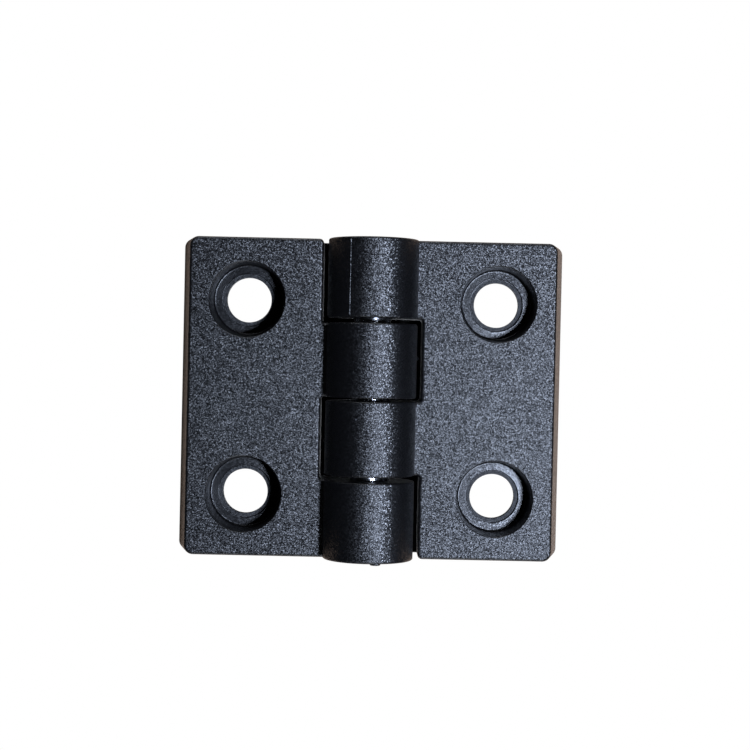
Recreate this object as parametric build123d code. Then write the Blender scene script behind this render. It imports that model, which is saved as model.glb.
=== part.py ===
from build123d import *
import os

# Moulded butt hinge: two identical plastic leaves and one steel pin.
# Millimetres. The origin is the centre of the mounting plane with the hinge laid open and flat.
# X runs across the leaves, Y along the pin, and Z away from the mounting surface.

# ---- leaf plate ----
leaf_length = 42.0            # along the pin
face_reach = 24.2             # pin axis to the outer edge of the front face
back_reach = 25.5             # pin axis to the outer edge of the mounting face
leaf_thickness = 5.75
outer_corner_radius = 1.2
inner_corner_radius = 0.6     # the free corner beside the end knuckle of the other leaf
notch_corner_radius = 0.4     # foot of the notch that the other leaf's middle knuckle turns in
face_edge_radius = 0.42

# ---- barrel ----
barrel_radius = 5.95
end_knuckle_length = 10.35    # first and last knuckle
end_knuckle_gap = 0.7         # running gap beside each end knuckle
middle_knuckle_gap = 0.4      # running gap at mid length
knuckle_edge_radius = 0.25
closed_gap = 0.5              # between the two front faces when the hinge is shut
barrel_to_leaf_clearance = 0.65
parting_bead_angle = 30.0     # where two mould inserts meet on the end knuckle, from its crown
parting_bead_width = 0.13
parting_bead_height = 0.05

flash_nub_radius = 0.3        # a crumb of flash on the free side of each middle knuckle
flash_nub_stand = 0.22
flash_nub_place = -5.5        # along the pin, on the moving leaf

gate_stub_radius = 0.7        # what is left of the moulding gate on the fixed leaf's barrel end
gate_stub_height = 0.2
gate_stub_angle = 11.0        # degrees round the barrel from its crown
gate_stub_inset = 0.75        # stub centre to the barrel's outside

# ---- pin ----
pin_radius = 2.5
pin_running_clearance = 0.05  # between the pin and the knuckle bores
pin_end_recess = 0.4          # the pin stops this far inside each barrel end
pin_end_chamfer = 0.4
grip_length = 7.0             # knurled stretch that holds the pin in one end knuckle
grip_bite = 0.06              # how far the knurl ridges stand into the bore wall
grip_ridge_count = 20
grip_ridge_width = 0.3

# ---- screw holes ----
screw_row_reach = 16.6        # pin axis to the line of screw holes
screw_spacing = 25.7          # hole to hole, along the pin
screw_hole_radius = 3.0
recess_radius = 5.03          # mouth of the screw-head recess
recess_depth = 4.35
recess_wall_draft = 4.5       # degrees
recess_foot_radius = 0.25
recess_rim_radius = 0.12
seat_bore_radius = 3.5        # inner edge of the head seat
seat_rise = 0.08              # the seat stands higher at its inner edge
seat_lip_radius = 0.1
land_drop = 0.3               # step from the seat down to the dull land round the hole

# ---- cored-out back ----
core_depth = 3.4
core_wall = 1.9               # plate wall left around the cored pockets
core_rib = 1.5
core_pocket_count = 3
core_corner_radius = 0.6
boss_wall = 1.4               # material kept around each screw-head recess

# ---- worked out from the above ----
axis_height = leaf_thickness + closed_gap / 2
notch_reach = barrel_radius + barrel_to_leaf_clearance
barrel_relief = axis_height - barrel_radius      # the barrel stays clear of the mounting plane
half_length = leaf_length / 2
bore_radius = pin_radius + pin_running_clearance
screw_rows = (screw_spacing / 2, -screw_spacing / 2)

# A leaf carries the end knuckle at its +Y end and one middle knuckle below mid length. Turned half
# a turn about Z, the same leaf fills the two stretches that this one leaves free.
end_knuckle = (half_length - end_knuckle_length, half_length)
middle_knuckle = (-end_knuckle[0] + end_knuckle_gap, -middle_knuckle_gap / 2)
own_knuckles = (end_knuckle, middle_knuckle)
free_stretches = (
    (middle_knuckle[1], end_knuckle[0]),
    (-half_length, middle_knuckle[0]),
)


def span_box(x_span, y_span, z_span):
    """A box between two X, two Y and two Z values."""
    size = [high - low for low, high in (x_span, y_span, z_span)]
    centre = [(high + low) / 2 for low, high in (x_span, y_span, z_span)]
    return Pos(*centre) * Box(*size)


def cylinder_along_y(radius, y_span, height=0.0):
    """A cylinder about the line x = 0, z = height, between two Y values."""
    length = y_span[1] - y_span[0]
    middle = (y_span[0] + y_span[1]) / 2
    return Pos(0, middle, height) * Rot(90, 0, 0) * Cylinder(radius, length)


def leaf_plate():
    """The plate from the pin axis outwards, with a sloped outer wall and the barrel's relief."""
    relief_foot = notch_reach + barrel_relief
    outline = Polyline(
        (0, barrel_relief),
        (notch_reach, barrel_relief),
        (relief_foot, 0),
        (back_reach, 0),
        (face_reach, leaf_thickness),
        (0, leaf_thickness),
        close=True,
    )
    section = Plane.XZ * make_face(outline)
    plate = Pos(0, half_length, 0) * extrude(section, leaf_length)
    wall_edges = plate.edges().filter_by(lambda e: e.bounding_box().min.X >= face_reach - 0.01)
    slanted = wall_edges.filter_by(Axis.Y, reverse=True)
    return fillet(slanted, outer_corner_radius)


def cut_free_stretches(plate):
    """Opens the plate where the other leaf's knuckles turn."""
    for low, high in free_stretches:
        reach_low = low - 1.0 if low <= -half_length else low
        plate -= span_box((-1.0, notch_reach), (reach_low, high), (-1.0, leaf_thickness + 1.0))
    return plate


def upright_edges_at(solid, x, y):
    """The vertical edges that stand at one X and Y."""
    def stands_there(edge):
        centre = edge.center()
        return abs(centre.X - x) < 0.01 and abs(centre.Y - y) < 0.01
    return solid.edges().filter_by(Axis.Z).filter_by(stands_there)


def round_plate(plate):
    """Rounds the free inner corner, the notch feet and the edges of the front face."""
    plate = fillet(upright_edges_at(plate, notch_reach, -half_length), inner_corner_radius)
    for y in (middle_knuckle[0], middle_knuckle[1], end_knuckle[0]):
        plate = fillet(upright_edges_at(plate, notch_reach, y), notch_corner_radius)
    front = plate.faces().filter_by(Axis.Z).sort_by(Axis.Z)[-1]
    rim = front.edges().filter_by(lambda e: e.bounding_box().max.X > 0.01)
    return fillet(rim, face_edge_radius)


def knuckle(y_span):
    """One barrel knuckle with rounded end edges."""
    body = cylinder_along_y(barrel_radius, y_span, axis_height)
    return fillet(body.edges().filter_by(GeomType.CIRCLE), knuckle_edge_radius)


def parting_bead(y_span):
    """The fine line along a knuckle where two mould inserts met."""
    half_width = parting_bead_width / 2
    foot = barrel_radius - parting_bead_height
    outline = Polyline(
        (-half_width, foot),
        (-half_width, barrel_radius),
        (0, barrel_radius + parting_bead_height),
        (half_width, barrel_radius),
        (half_width, foot),
        close=True,
    )
    length = y_span[1] - y_span[0] - 2 * knuckle_edge_radius
    section = Plane.XZ * make_face(outline)
    bead = Pos(0, y_span[1] - knuckle_edge_radius, 0) * extrude(section, length)
    return Pos(0, 0, axis_height) * Rot(0, -parting_bead_angle, 0) * bead


def flash_nub():
    """The crumb of flash on the side of the middle knuckle that faces the other leaf."""
    reach = barrel_radius + flash_nub_stand - flash_nub_radius
    return Pos(-reach, flash_nub_place, axis_height) * Sphere(flash_nub_radius)


def gate_stub():
    """The snapped-off gate that stands a little proud of the end knuckle's flat end."""
    stub = cylinder_along_y(gate_stub_radius, (half_length - 1.0, half_length + gate_stub_height))
    tip = stub.edges().filter_by(GeomType.CIRCLE).sort_by(Axis.Y)[-1]
    stub = fillet(tip, 0.7 * gate_stub_height)
    stub = Pos(0, 0, barrel_radius - gate_stub_inset) * stub
    return Pos(0, 0, axis_height) * Rot(0, -gate_stub_angle, 0) * stub


def screw_hole():
    """The tool for one screw hole: head recess, raised seat, dull land and through hole."""
    top = leaf_thickness
    floor = top - recess_depth
    foot = recess_radius - recess_depth * tan_degrees(recess_wall_draft)
    land = floor + seat_rise - land_drop
    wall = Polyline(
        (0, top + 1.0),
        (recess_radius + 1.0, top + 1.0),
        (recess_radius + 1.0, top),
        (recess_radius, top),
        (foot, floor),
        (seat_bore_radius, floor + seat_rise),
        (seat_bore_radius, land),
        (screw_hole_radius, land),
        (screw_hole_radius, -1.0),
        (0, -1.0),
        close=True,
    )
    section = make_face(wall)
    section = fillet(vertex_at(section, foot, floor), recess_foot_radius)
    section = fillet(vertex_at(section, seat_bore_radius, floor + seat_rise), seat_lip_radius)
    section = fillet(vertex_at(section, recess_radius, top), recess_rim_radius)
    return revolve(Plane.XZ * section, Axis.Z)


def tan_degrees(angle):
    """Tangent of an angle in degrees."""
    ray = Vector(1, 0, 0).rotate(Axis.Z, angle)
    return ray.Y / ray.X


def vertex_at(face, x, y):
    """The face's vertex nearest to a point in its own plane."""
    return face.vertices().sort_by_distance((x, y, 0))[0]


def core_pockets():
    """The pockets between the screw bosses that keep the back of the moulding thin-walled."""
    boss_radius = recess_radius + boss_wall
    y_low = -screw_spacing / 2 + boss_radius
    y_high = screw_spacing / 2 - boss_radius
    x_low = notch_reach + core_wall
    x_high = face_reach - core_wall
    pitch = (y_high - y_low + core_rib) / core_pocket_count
    width = pitch - core_rib
    pockets = []
    for index in range(core_pocket_count):
        y = y_low + width / 2 + index * pitch
        pocket = RectangleRounded(x_high - x_low, width, core_corner_radius)
        pocket = Pos((x_low + x_high) / 2, y, -1.0) * extrude(pocket, core_depth + 1.0)
        pockets.append(pocket)
    return pockets


def leaf():
    """One complete leaf on the +X side."""
    body = round_plate(cut_free_stretches(leaf_plate()))
    for y_span in own_knuckles:
        body += knuckle(y_span)
        body -= cylinder_along_y(bore_radius, (y_span[0] - 1.0, y_span[1] + 1.0), axis_height)
    body += parting_bead(end_knuckle)
    body += flash_nub()
    for y in screw_rows:
        body -= Pos(screw_row_reach, y, 0) * screw_hole()
    for pocket in core_pockets():
        body -= pocket
    return body


def hinge_pin():
    """The steel pin, with a knurled stretch inside the end knuckle of the fixed leaf."""
    half_pin = half_length - pin_end_recess
    shaft = cylinder_along_y(pin_radius, (-half_pin, half_pin))
    shaft = chamfer(shaft.edges().filter_by(GeomType.CIRCLE), pin_end_chamfer)
    knuckle_middle = -(end_knuckle[0] + end_knuckle[1]) / 2
    ridge_top = bore_radius + grip_bite
    ridge = Box(grip_ridge_width, grip_length, ridge_top - pin_radius / 2)
    ridge = Pos(0, knuckle_middle, (ridge_top + pin_radius / 2) / 2) * ridge
    for index in range(grip_ridge_count):
        shaft += Rot(0, index * 360.0 / grip_ridge_count, 0) * ridge
    return Pos(0, 0, axis_height) * shaft


os.makedirs("parts", exist_ok=True)
moulding = leaf()
export_step(moulding, "parts/moving_leaf.step")
export_step(Rot(0, 0, 180) * (moulding + gate_stub()), "parts/fixed_leaf.step")
export_step(hinge_pin(), "parts/hinge_pin.step")
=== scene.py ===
# %% [markdown]
# # A moulded door hinge
#
# The subject is a small black nylon butt hinge: two leaves from one mould, turned half a turn to
# each other, on a polished steel pin. The three pieces arrive ready made from the construction
# model, at real size and in metres, so this lesson is about finishes and light. Black plastic has
# almost no colour of its own. What the eye reads is how its grain and its polish throw back one
# lamp, and most of the work below goes into that.

# %% Load the construction model
import math

import bpy
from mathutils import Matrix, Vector

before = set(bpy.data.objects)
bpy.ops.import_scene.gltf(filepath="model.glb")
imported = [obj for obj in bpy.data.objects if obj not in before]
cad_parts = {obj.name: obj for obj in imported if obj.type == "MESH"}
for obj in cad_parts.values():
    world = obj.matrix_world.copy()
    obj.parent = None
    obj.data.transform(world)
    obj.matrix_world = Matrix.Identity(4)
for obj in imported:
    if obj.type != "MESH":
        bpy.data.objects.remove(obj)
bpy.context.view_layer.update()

MM = 0.001
print("pieces:", sorted(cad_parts))

# %% [markdown]
# ## The camera
#
# A small part is usually looked at almost straight down on a table, from about a hand's length. The
# lens is a short telephoto, so the barrel, which stands nearer than the leaves, grows by a few
# percent and its round ends bulge past the leaf ends. A camera could be aimed with a constraint;
# here its three small angles are set directly, because the hinge lies slightly askew in the view.

# %% Set the camera
CAMERA_PLACE = Vector((-0.8, 5.7, 212.9)) * MM
CAMERA_TILT = (-0.70, -0.34, 1.27)    # degrees from straight down, about X, Y and Z
CAMERA_LENS = 75.5                    # focal length on a 36 mm frame
CAMERA_CLIP = 10 * MM

camera_data = bpy.data.cameras.new("camera")
camera_data.lens = CAMERA_LENS
camera_data.clip_start = CAMERA_CLIP
camera = bpy.data.objects.new("camera", camera_data)
camera.location = CAMERA_PLACE
camera.rotation_euler = [math.radians(angle) for angle in CAMERA_TILT]
bpy.context.scene.collection.objects.link(camera)
bpy.context.scene.camera = camera
print("camera stands", round(CAMERA_PLACE.z / MM), "mm above the mounting plane")

# %% [markdown]
# ## Helpers for materials
#
# Every finish here is a small tree of shader nodes. Three helpers are enough: one turns the sRGB
# colours that people write down into the linear numbers that the renderer works in, one adds any
# node, with its settings and its links, in a single line, and one opens an empty material. An input
# is given by its label, or by its number after an underscore where labels repeat.

# %% Helpers
def linear(hex_colour):
    """An sRGB colour such as "#1c1d20" as linear red, green, blue and alpha."""
    levels = [int(hex_colour[i:i + 2], 16) / 255 for i in (1, 3, 5)]
    return [c / 12.92 if c <= 0.04045 else ((c + 0.055) / 1.055) ** 2.4 for c in levels] + [1.0]


def add_node(tree, kind, settings=None, **inputs):
    """Adds a node. An input that is a socket is linked, and any other value is set."""
    node = tree.nodes.new(kind)
    for name, value in (settings or {}).items():
        setattr(node, name, value)
    for name, value in inputs.items():
        key = int(name[1:]) if name[1:].isdigit() else name.replace("_", " ")
        socket = node.inputs[key]
        if isinstance(value, bpy.types.NodeSocket):
            tree.links.new(value, socket)
        else:
            socket.default_value = value
    return node


def start_material(name):
    """An empty material, with its node tree and output node."""
    material = bpy.data.materials.new(name)
    material.use_nodes = True
    tree = material.node_tree
    tree.nodes.clear()
    return material, tree, add_node(tree, "ShaderNodeOutputMaterial")


print("mid grey #808080 is", round(linear("#808080")[0], 3), "in linear light")

# %% [markdown]
# ## Black glass-filled nylon
#
# The leaves are injection moulded from black PA6 with glass fibre. The mould's cavity was spark
# eroded, so every outer face carries a fine matt grain of pits and bumps. Black plastic hardly
# scatters light: nearly all that comes back is the reflection of the lamp, broken up by the grain
# into tiny sparks. The screw recesses were formed by turned and polished core pins, so they are
# smoother, darker away from the lamp and brighter towards it.
#
# Both finishes live in one material, because both are on the same moulding. Separate material
# slots would need cuts in the mesh. Instead, the distance from the nearest screw-hole axis tells
# the finishes apart, measured in the leaf's own coordinates so that the finish travels with the
# leaf when it swings. The four holes are mirror images, so one measurement serves them all.

# %% Where the screw recesses are
SCREW_ROW_REACH = 16.6 * MM      # pin axis to the line of screw holes
SCREW_ROW_HALF = 12.85 * MM      # half the distance between two holes
RECESS_RADIUS = 5.03 * MM
SEAT_INNER_RADIUS = 3.5 * MM
BACK_FACE_DEPTH = 0.6 * MM       # below this height the surface keeps the plain grain
ZONE_EDGE = 0.08 * MM            # width over which one finish gives way to the next


def screw_zones(tree, place):
    """The distance from the nearest screw axis, and the masks of the recess and of its land."""
    mirrored = add_node(tree, "ShaderNodeVectorMath", {"operation": "ABSOLUTE"}, _0=place)
    from_axis = add_node(tree, "ShaderNodeVectorMath", {"operation": "SUBTRACT"},
                         _0=mirrored.outputs[0], _1=(SCREW_ROW_REACH, SCREW_ROW_HALF, 0.0))
    level = add_node(tree, "ShaderNodeVectorMath", {"operation": "MULTIPLY"},
                     _0=from_axis.outputs[0], _1=(1.0, 1.0, 0.0))
    radius = add_node(tree, "ShaderNodeVectorMath", {"operation": "LENGTH"},
                      _0=level.outputs[0]).outputs["Value"]
    height = add_node(tree, "ShaderNodeSeparateXYZ", _0=place).outputs["Z"]
    above_back = add_node(tree, "ShaderNodeMath", {"operation": "GREATER_THAN"}, _0=height,
                          _1=BACK_FACE_DEPTH).outputs[0]
    masks = []
    for edge in (RECESS_RADIUS + ZONE_EDGE, SEAT_INNER_RADIUS):
        inside = add_node(tree, "ShaderNodeMapRange", Value=radius, From_Min=edge,
                          From_Max=edge - ZONE_EDGE).outputs[0]
        mask = add_node(tree, "ShaderNodeMath", {"operation": "MULTIPLY"}, _0=inside, _1=above_back)
        masks.append(mask.outputs[0])
    return radius, masks[0], masks[1]


print("recess across:", round(2 * RECESS_RADIUS / MM, 2), "mm, seat bore across:",
      round(2 * SEAT_INNER_RADIUS / MM, 2), "mm")

# %% [markdown]
# ## The grain of the mould
#
# Each spark melts a tiny pit in the mould, and the plastic copies it as a facet that leans its own
# way. A bump map from noise could stand for them, but noise is smooth between its peaks, and it
# only dims and spreads the highlight. Here a Voronoi pattern gives every cell one random colour,
# which is used as one random lean of the normal, so whole facets flash or stay dark as real ones
# do. Each facet also gets its own roughness. The core pins that shaped the recesses were turned on
# a lathe, so there the facets lean less and faint rings run round the hole.
#
# A little pale dust lies on any used black part, so a few small specks are added to the colour.

# %% Sizes and values of the grain
FACET_SIZE = 0.095 * MM          # real pits are 0.03 to 0.1 mm, so this is the coarse end of real
FACET_TILT = 0.48                # how far a facet's normal can lean, as a part of its length
SEAT_FACET_TILT = 0.20
FACE_ROUGHNESS = (0.32, 0.44)
SEAT_ROUGHNESS = 0.35
LAND_ROUGHNESS = 0.60
TURNING_PITCH = 0.3 * MM         # real tool marks are about 0.1 mm, drawn coarser so that they show
TURNING_DETAIL = 2.0
TURNING_STRENGTH = 0.25
TURNING_HEIGHT = 0.02 * MM
SPECK_SPACING = 2.4 * MM
SPECK_RADIUS = 0.14 * MM
SPECKLESS_SHARE = 0.55           # this share of the cells holds no speck
NYLON_IOR = 1.53
NYLON_BLACK = "#050506"
DUST_GREY = "#4c4d50"
print("facets to a millimetre:", round(MM / FACET_SIZE, 1))

# %% Nylon
def moulded_nylon():
    """Black nylon with the mould's spark-eroded grain, and smoother turned recesses."""
    material, tree, output = start_material("black_nylon_spark_eroded")
    place = add_node(tree, "ShaderNodeTexCoord").outputs["Object"]
    normal = add_node(tree, "ShaderNodeNewGeometry").outputs["Normal"]
    radius, recess, land = screw_zones(tree, place)

    # Grain: each facet's colour, centred on zero, leans the normal.
    facets = add_node(tree, "ShaderNodeTexVoronoi", Vector=place,
                      Scale=1 / FACET_SIZE).outputs["Color"]
    lean = add_node(tree, "ShaderNodeVectorMath", {"operation": "SUBTRACT"}, _0=facets,
                    _1=(0.5, 0.5, 0.5))
    seat_lean = add_node(tree, "ShaderNodeMapRange", Value=recess, To_Min=FACET_TILT,
                         To_Max=SEAT_FACET_TILT).outputs[0]
    how_far = add_node(tree, "ShaderNodeMapRange", Value=land, To_Min=seat_lean, To_Max=FACET_TILT)
    tilt = add_node(tree, "ShaderNodeVectorMath", {"operation": "SCALE"}, _0=lean.outputs[0],
                    Scale=how_far.outputs[0])
    tilted = add_node(tree, "ShaderNodeVectorMath", {"operation": "ADD"}, _0=normal,
                      _1=tilt.outputs[0])
    grainy = add_node(tree, "ShaderNodeVectorMath", {"operation": "NORMALIZE"},
                      _0=tilted.outputs[0])

    # Roughness: by facet on the faces, even in the recess, dull on the land.
    turning = add_node(tree, "ShaderNodeTexNoise", {"noise_dimensions": "1D"}, W=radius,
                       Scale=1 / TURNING_PITCH, Detail=TURNING_DETAIL).outputs["Fac"]
    tone = add_node(tree, "ShaderNodeSeparateColor", Color=facets).outputs[0]
    face_roughness = add_node(tree, "ShaderNodeMapRange", Value=tone,
                              To_Min=FACE_ROUGHNESS[0], To_Max=FACE_ROUGHNESS[1]).outputs[0]
    with_seat = add_node(tree, "ShaderNodeMapRange", Value=recess, To_Min=face_roughness,
                         To_Max=SEAT_ROUGHNESS).outputs[0]
    roughness = add_node(tree, "ShaderNodeMapRange", Value=land, To_Min=with_seat,
                         To_Max=LAND_ROUGHNESS).outputs[0]

    # Dust: a speck in the middle of some of the cells of a much wider pattern.
    specks = add_node(tree, "ShaderNodeTexVoronoi", Vector=place, Scale=1 / SPECK_SPACING).outputs
    chosen = add_node(tree, "ShaderNodeSeparateColor", Color=specks["Color"]).outputs[1]
    speck_size = add_node(tree, "ShaderNodeMapRange", Value=chosen, From_Min=SPECKLESS_SHARE,
                          From_Max=1.0, To_Min=0.0,
                          To_Max=SPECK_RADIUS / SPECK_SPACING).outputs[0]
    speck = add_node(tree, "ShaderNodeMath", {"operation": "LESS_THAN"}, _0=specks["Distance"],
                     _1=speck_size).outputs[0]
    colour = add_node(tree, "ShaderNodeMix", {"data_type": "RGBA"}, _0=speck,
                      _6=linear(NYLON_BLACK), _7=linear(DUST_GREY))

    # Tool rings, in the recesses only.
    turning_strength = add_node(tree, "ShaderNodeMath", {"operation": "MULTIPLY"}, _0=recess,
                                _1=TURNING_STRENGTH).outputs[0]
    bump = add_node(tree, "ShaderNodeBump", Strength=turning_strength, Distance=TURNING_HEIGHT,
                    Height=turning, Normal=grainy.outputs[0])
    shader = add_node(tree, "ShaderNodeBsdfPrincipled", Base_Color=colour.outputs[2],
                      Roughness=roughness, IOR=NYLON_IOR, Normal=bump.outputs["Normal"])
    tree.links.new(shader.outputs["BSDF"], output.inputs["Surface"])
    return material


nylon = moulded_nylon()
for name in ("fixed_leaf", "moving_leaf"):
    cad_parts[name].data.materials.clear()
    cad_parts[name].data.materials.append(nylon)
print(nylon.name, "has", len(nylon.node_tree.nodes), "nodes; grain", FACET_SIZE / MM, "mm")

# %% [markdown]
# ## Drawn and polished steel
#
# The pin is bright-drawn rod. Pulling it through the die leaves hair-fine lines along its length,
# and polishing leaves a high shine in which they only just show. A drawn look is often made with
# an anisotropic shader; stretched noise in the roughness does the same with plain settings: fine
# across the pin and long along it. Dark smears of grease from the knuckles dull it in patches. A
# metal's own colour is its reflection, so the index of refraction is left as it comes.

# %% Steel
DRAW_LINE_WIDTH = 0.06 * MM      # real lines are about 0.01 mm, drawn coarser so that they show
DRAW_LINE_LENGTH = 4.0 * MM
DRAW_LINE_HEIGHT = 0.004 * MM
DRAW_LINE_STRENGTH = 0.3
SMEAR_SIZE = 1.5 * MM
POLISH_ROUGHNESS = (0.14, 0.24)
SMEAR_ROUGHNESS = 0.4
STEEL_BRIGHT = "#c2c3c6"
STEEL_SMEARED = "#8d8a86"


def polished_steel():
    """Bright-drawn rod with hair-fine lines along it and smears of grease."""
    material, tree, output = start_material("steel_drawn_and_polished")
    place = add_node(tree, "ShaderNodeTexCoord").outputs["Object"]
    stretched = add_node(tree, "ShaderNodeVectorMath", {"operation": "DIVIDE"}, _0=place,
                         _1=(DRAW_LINE_WIDTH, DRAW_LINE_LENGTH, DRAW_LINE_WIDTH))
    lines = add_node(tree, "ShaderNodeTexNoise", Vector=stretched.outputs[0], Scale=1.0,
                     Detail=2.0).outputs["Fac"]
    smears = add_node(tree, "ShaderNodeTexNoise", Vector=place, Scale=1 / SMEAR_SIZE,
                      Detail=3.0).outputs["Fac"]
    line_roughness = add_node(tree, "ShaderNodeMapRange", Value=lines, From_Min=0.3, From_Max=0.7,
                              To_Min=POLISH_ROUGHNESS[0],
                              To_Max=POLISH_ROUGHNESS[1]).outputs[0]
    roughness = add_node(tree, "ShaderNodeMapRange", Value=smears, From_Min=0.5, From_Max=0.7,
                         To_Min=line_roughness, To_Max=SMEAR_ROUGHNESS).outputs[0]
    tone = add_node(tree, "ShaderNodeMapRange", Value=smears, From_Min=0.45,
                    From_Max=0.7).outputs[0]
    colour = add_node(tree, "ShaderNodeMix", {"data_type": "RGBA"}, _0=tone,
                      _6=linear(STEEL_BRIGHT), _7=linear(STEEL_SMEARED))
    bump = add_node(tree, "ShaderNodeBump", Strength=DRAW_LINE_STRENGTH,
                    Distance=DRAW_LINE_HEIGHT, Height=lines)
    shader = add_node(tree, "ShaderNodeBsdfPrincipled", Base_Color=colour.outputs[2],
                      Metallic=1.0, Roughness=roughness, Normal=bump.outputs["Normal"])
    tree.links.new(shader.outputs["BSDF"], output.inputs["Surface"])
    return material


steel = polished_steel()
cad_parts["hinge_pin"].data.materials.clear()
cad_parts["hinge_pin"].data.materials.append(steel)
print(steel.name, "has", len(steel.node_tree.nodes), "nodes; lines",
      DRAW_LINE_WIDTH / MM, "mm wide")

# %% [markdown]
# ## The table
#
# The hinge lies on a white table that is lit so brightly that it reads as plain white. A white
# plane with a strong lamp would also throw that light into the black recesses, and black plastic
# shows every stray glow. So the table is made with a Light Path node: what looks at it directly
# sees an even white, and what it throws back on the hinge is set apart, warm and bright in a band
# beside the leaves, which is the light that the sloped outer walls pick up, and dark farther off.
# Under the whole hinge the table is painted near black in the light it throws back, a painted
# shade. Under the barrel it is dark to every ray, the eye included: a painted contact shadow, which
# an even white can't hold, and it makes the thin gaps beside the knuckles read as gaps. The painted
# shadow is fixed to the table and suits the hinge laid open. Lamps shine through the table from
# below, to show the back.

# %% Where the table is dark, warm and plain
FLOOR_HALF = 600 * MM
FLOOR_DEPTH = 0.5 * MM
# Half sizes across the leaves and along the pin, and the width of each edge. BARREL_SHADE bounds
# the painted contact shadow that the eye sees, HINGE_SHADE the painted shade in the light thrown
# back.
BARREL_SHADE = (6.85 * MM, 20.8 * MM)
BARREL_SHADE_FADE = (1.2 * MM, 0.1 * MM)
HINGE_SHADE = (25.2 * MM, 20.8 * MM)
WARM_BAND = (36.0 * MM, 32.0 * MM)
SHARP_FADE = (0.1 * MM, 0.1 * MM)
TABLE_SEEN = "#ffffff"
TABLE_PAINTED_SHADOW = "#0c0b0a"
# Painted shadow: the near-black colour of the table under the hinge.
TABLE_WARM = "#d4b497"
TABLE_FAR = "#3c3d40"


def beyond_box(tree, sides, half_size, fade):
    """Zero inside a box about the origin, and one outside it after a fade."""
    beyond = [add_node(tree, "ShaderNodeMapRange", {"interpolation_type": "SMOOTHSTEP"},
                       Value=sides[i], From_Min=half_size[i],
                       From_Max=half_size[i] + fade[i]).outputs[0] for i in (0, 1)]
    return add_node(tree, "ShaderNodeMath", {"operation": "MAXIMUM"}, _0=beyond[0],
                    _1=beyond[1]).outputs[0]


print("warm band beside the leaves:", round((WARM_BAND[0] - HINGE_SHADE[0]) / MM, 1),
      "mm wide")

# %% Table
def table_top():
    """A white table with a painted shadow under the barrel; it throws only chosen light back on the
    hinge, painted dark under it.
    """
    material, tree, output = start_material("table_white_painted_shadow")
    path = add_node(tree, "ShaderNodeLightPath").outputs
    back = add_node(tree, "ShaderNodeNewGeometry").outputs["Backfacing"]
    place = add_node(tree, "ShaderNodeTexCoord").outputs["Object"]
    mirrored = add_node(tree, "ShaderNodeVectorMath", {"operation": "ABSOLUTE"}, _0=place)
    sides = add_node(tree, "ShaderNodeSeparateXYZ", _0=mirrored.outputs[0]).outputs
    # Painted contact shadow: the eye sees white except inside the barrel box, where it sees the
    # near-black table.
    bright = add_node(tree, "ShaderNodeMath", {"operation": "MULTIPLY"},
                      _0=beyond_box(tree, sides, BARREL_SHADE, BARREL_SHADE_FADE),
                      _1=path["Is Camera Ray"])
    seen = add_node(tree, "ShaderNodeEmission", Color=linear(TABLE_SEEN), Strength=1.0)
    # Painted shade: under the hinge the table is near black for every ray, and warm in the band
    # beside it.
    near = add_node(tree, "ShaderNodeMix", {"data_type": "RGBA"},
                    _0=beyond_box(tree, sides, HINGE_SHADE, SHARP_FADE),
                    _6=linear(TABLE_PAINTED_SHADOW), _7=linear(TABLE_WARM))
    tone = add_node(tree, "ShaderNodeMix", {"data_type": "RGBA"},
                    _0=beyond_box(tree, sides, WARM_BAND, SHARP_FADE), _6=near.outputs[2],
                    _7=linear(TABLE_FAR))
    lit = add_node(tree, "ShaderNodeBsdfDiffuse", Color=tone.outputs[2])
    mix = add_node(tree, "ShaderNodeMixShader", _0=bright.outputs[0],
                   _1=lit.outputs[0], _2=seen.outputs[0])
    unseen = add_node(tree, "ShaderNodeMath", {"operation": "MAXIMUM"}, _0=back,
                      _1=path["Is Shadow Ray"])
    clear = add_node(tree, "ShaderNodeBsdfTransparent")
    both = add_node(tree, "ShaderNodeMixShader", _0=unseen.outputs[0], _1=mix.outputs[0],
                    _2=clear.outputs[0])
    tree.links.new(both.outputs[0], output.inputs["Surface"])
    return material


floor_mesh = bpy.data.meshes.new("floor")
corners = [(x * FLOOR_HALF, y * FLOOR_HALF, -FLOOR_DEPTH)
           for x, y in ((-1, -1), (1, -1), (1, 1), (-1, 1))]
floor_mesh.from_pydata(corners, [], [(0, 1, 2, 3)])
floor = bpy.data.objects.new("floor", floor_mesh)
floor_mesh.materials.append(table_top())
bpy.context.scene.collection.objects.link(floor)
print("table:", round(2 * FLOOR_HALF / MM), "mm square,", FLOOR_DEPTH / MM, "mm below the hinge")

# %% [markdown]
# ## The light
#
# One soft round lamp stands high and a little to the right, close to the eye. It draws the long
# highlight down the barrel and makes the right leaf paler than the left one, because the grain
# there leans back towards the lamp. A wide lamp would smear the highlight and fill the recesses,
# so this one is small. Three weak fills stand where the first view barely sees them: beyond each
# end of the barrel, and below the table for the back.
#
# The world is white to the eye and almost black to the hinge, for the same reason as the table.

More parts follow.
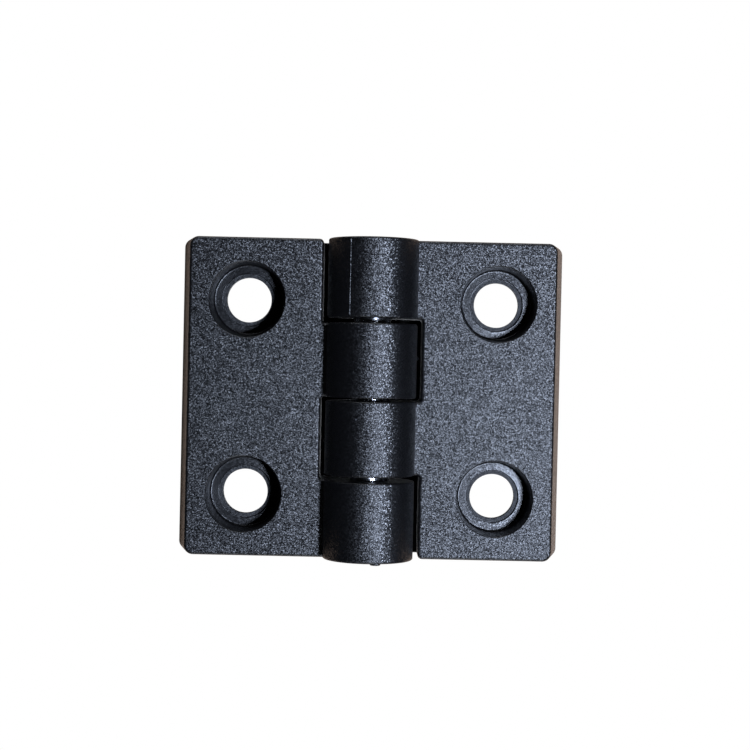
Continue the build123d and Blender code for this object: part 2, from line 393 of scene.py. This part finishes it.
# %% Backdrop
WORLD_GLOW = 0.003
BACKDROP_WHITE = "#ffffff"
world = bpy.data.worlds.new("studio")
bpy.context.scene.world = world
world.use_nodes = True
world.node_tree.nodes.clear()
path = add_node(world.node_tree, "ShaderNodeLightPath")
strength = add_node(world.node_tree, "ShaderNodeMapRange", Value=path.outputs["Is Camera Ray"],
                    To_Min=WORLD_GLOW, To_Max=1.0)
backdrop = add_node(world.node_tree, "ShaderNodeBackground", Color=linear(BACKDROP_WHITE),
                    Strength=strength.outputs["Result"])
add_node(world.node_tree, "ShaderNodeOutputWorld", Surface=backdrop.outputs[0])
print("backdrop: white to the eye,", WORLD_GLOW, "of white to the hinge")

# %% Lamps
def soft_lamp(name, place, diameter, watts, colour):
    """A round soft lamp that faces the middle of the mounting plane."""
    data = bpy.data.lights.new(name, "AREA")
    data.shape = "DISK"
    data.size = diameter
    data.energy = watts
    data.color = linear(colour)[:3]
    lamp = bpy.data.objects.new(name, data)
    lamp.location = place
    lamp.rotation_euler = (-place).to_track_quat("-Z", "Y").to_euler()
    bpy.context.scene.collection.objects.link(lamp)
    return lamp


KEY_PLACE = Vector((73, -27, 196)) * MM
KEY_WIDTH = 32 * MM
KEY_WATTS = 0.70
KEY_COLOUR = "#d6e4ff"
key = soft_lamp("key", KEY_PLACE, KEY_WIDTH, KEY_WATTS, KEY_COLOUR)
print("key lamp stands", round(key.location.length / MM), "mm from the hinge")

# %% Fills
FILL_WIDTH = 160 * MM
FILL_COLOUR = "#e8eef8"
# Each fill's place and its watts.
FILLS = {
    "fill_gate_end": (Vector((20, -240, 60)) * MM, 0.30),
    "fill_plain_end": (Vector((-20, 240, 60)) * MM, 0.30),
    "fill_back": (Vector((30, -60, -220)) * MM, 0.60),
}
for name, (fill_place, fill_watts) in FILLS.items():
    soft_lamp(name, fill_place, FILL_WIDTH, fill_watts, FILL_COLOUR)

# %% [markdown]
# ## Tone
#
# The Standard view transform keeps the white table white and the blacks deep. A filmic one would
# lift the plastic to grey.

# %% Tone
bpy.context.scene.view_settings.view_transform = "Standard"
print("view transform:", bpy.context.scene.view_settings.view_transform)
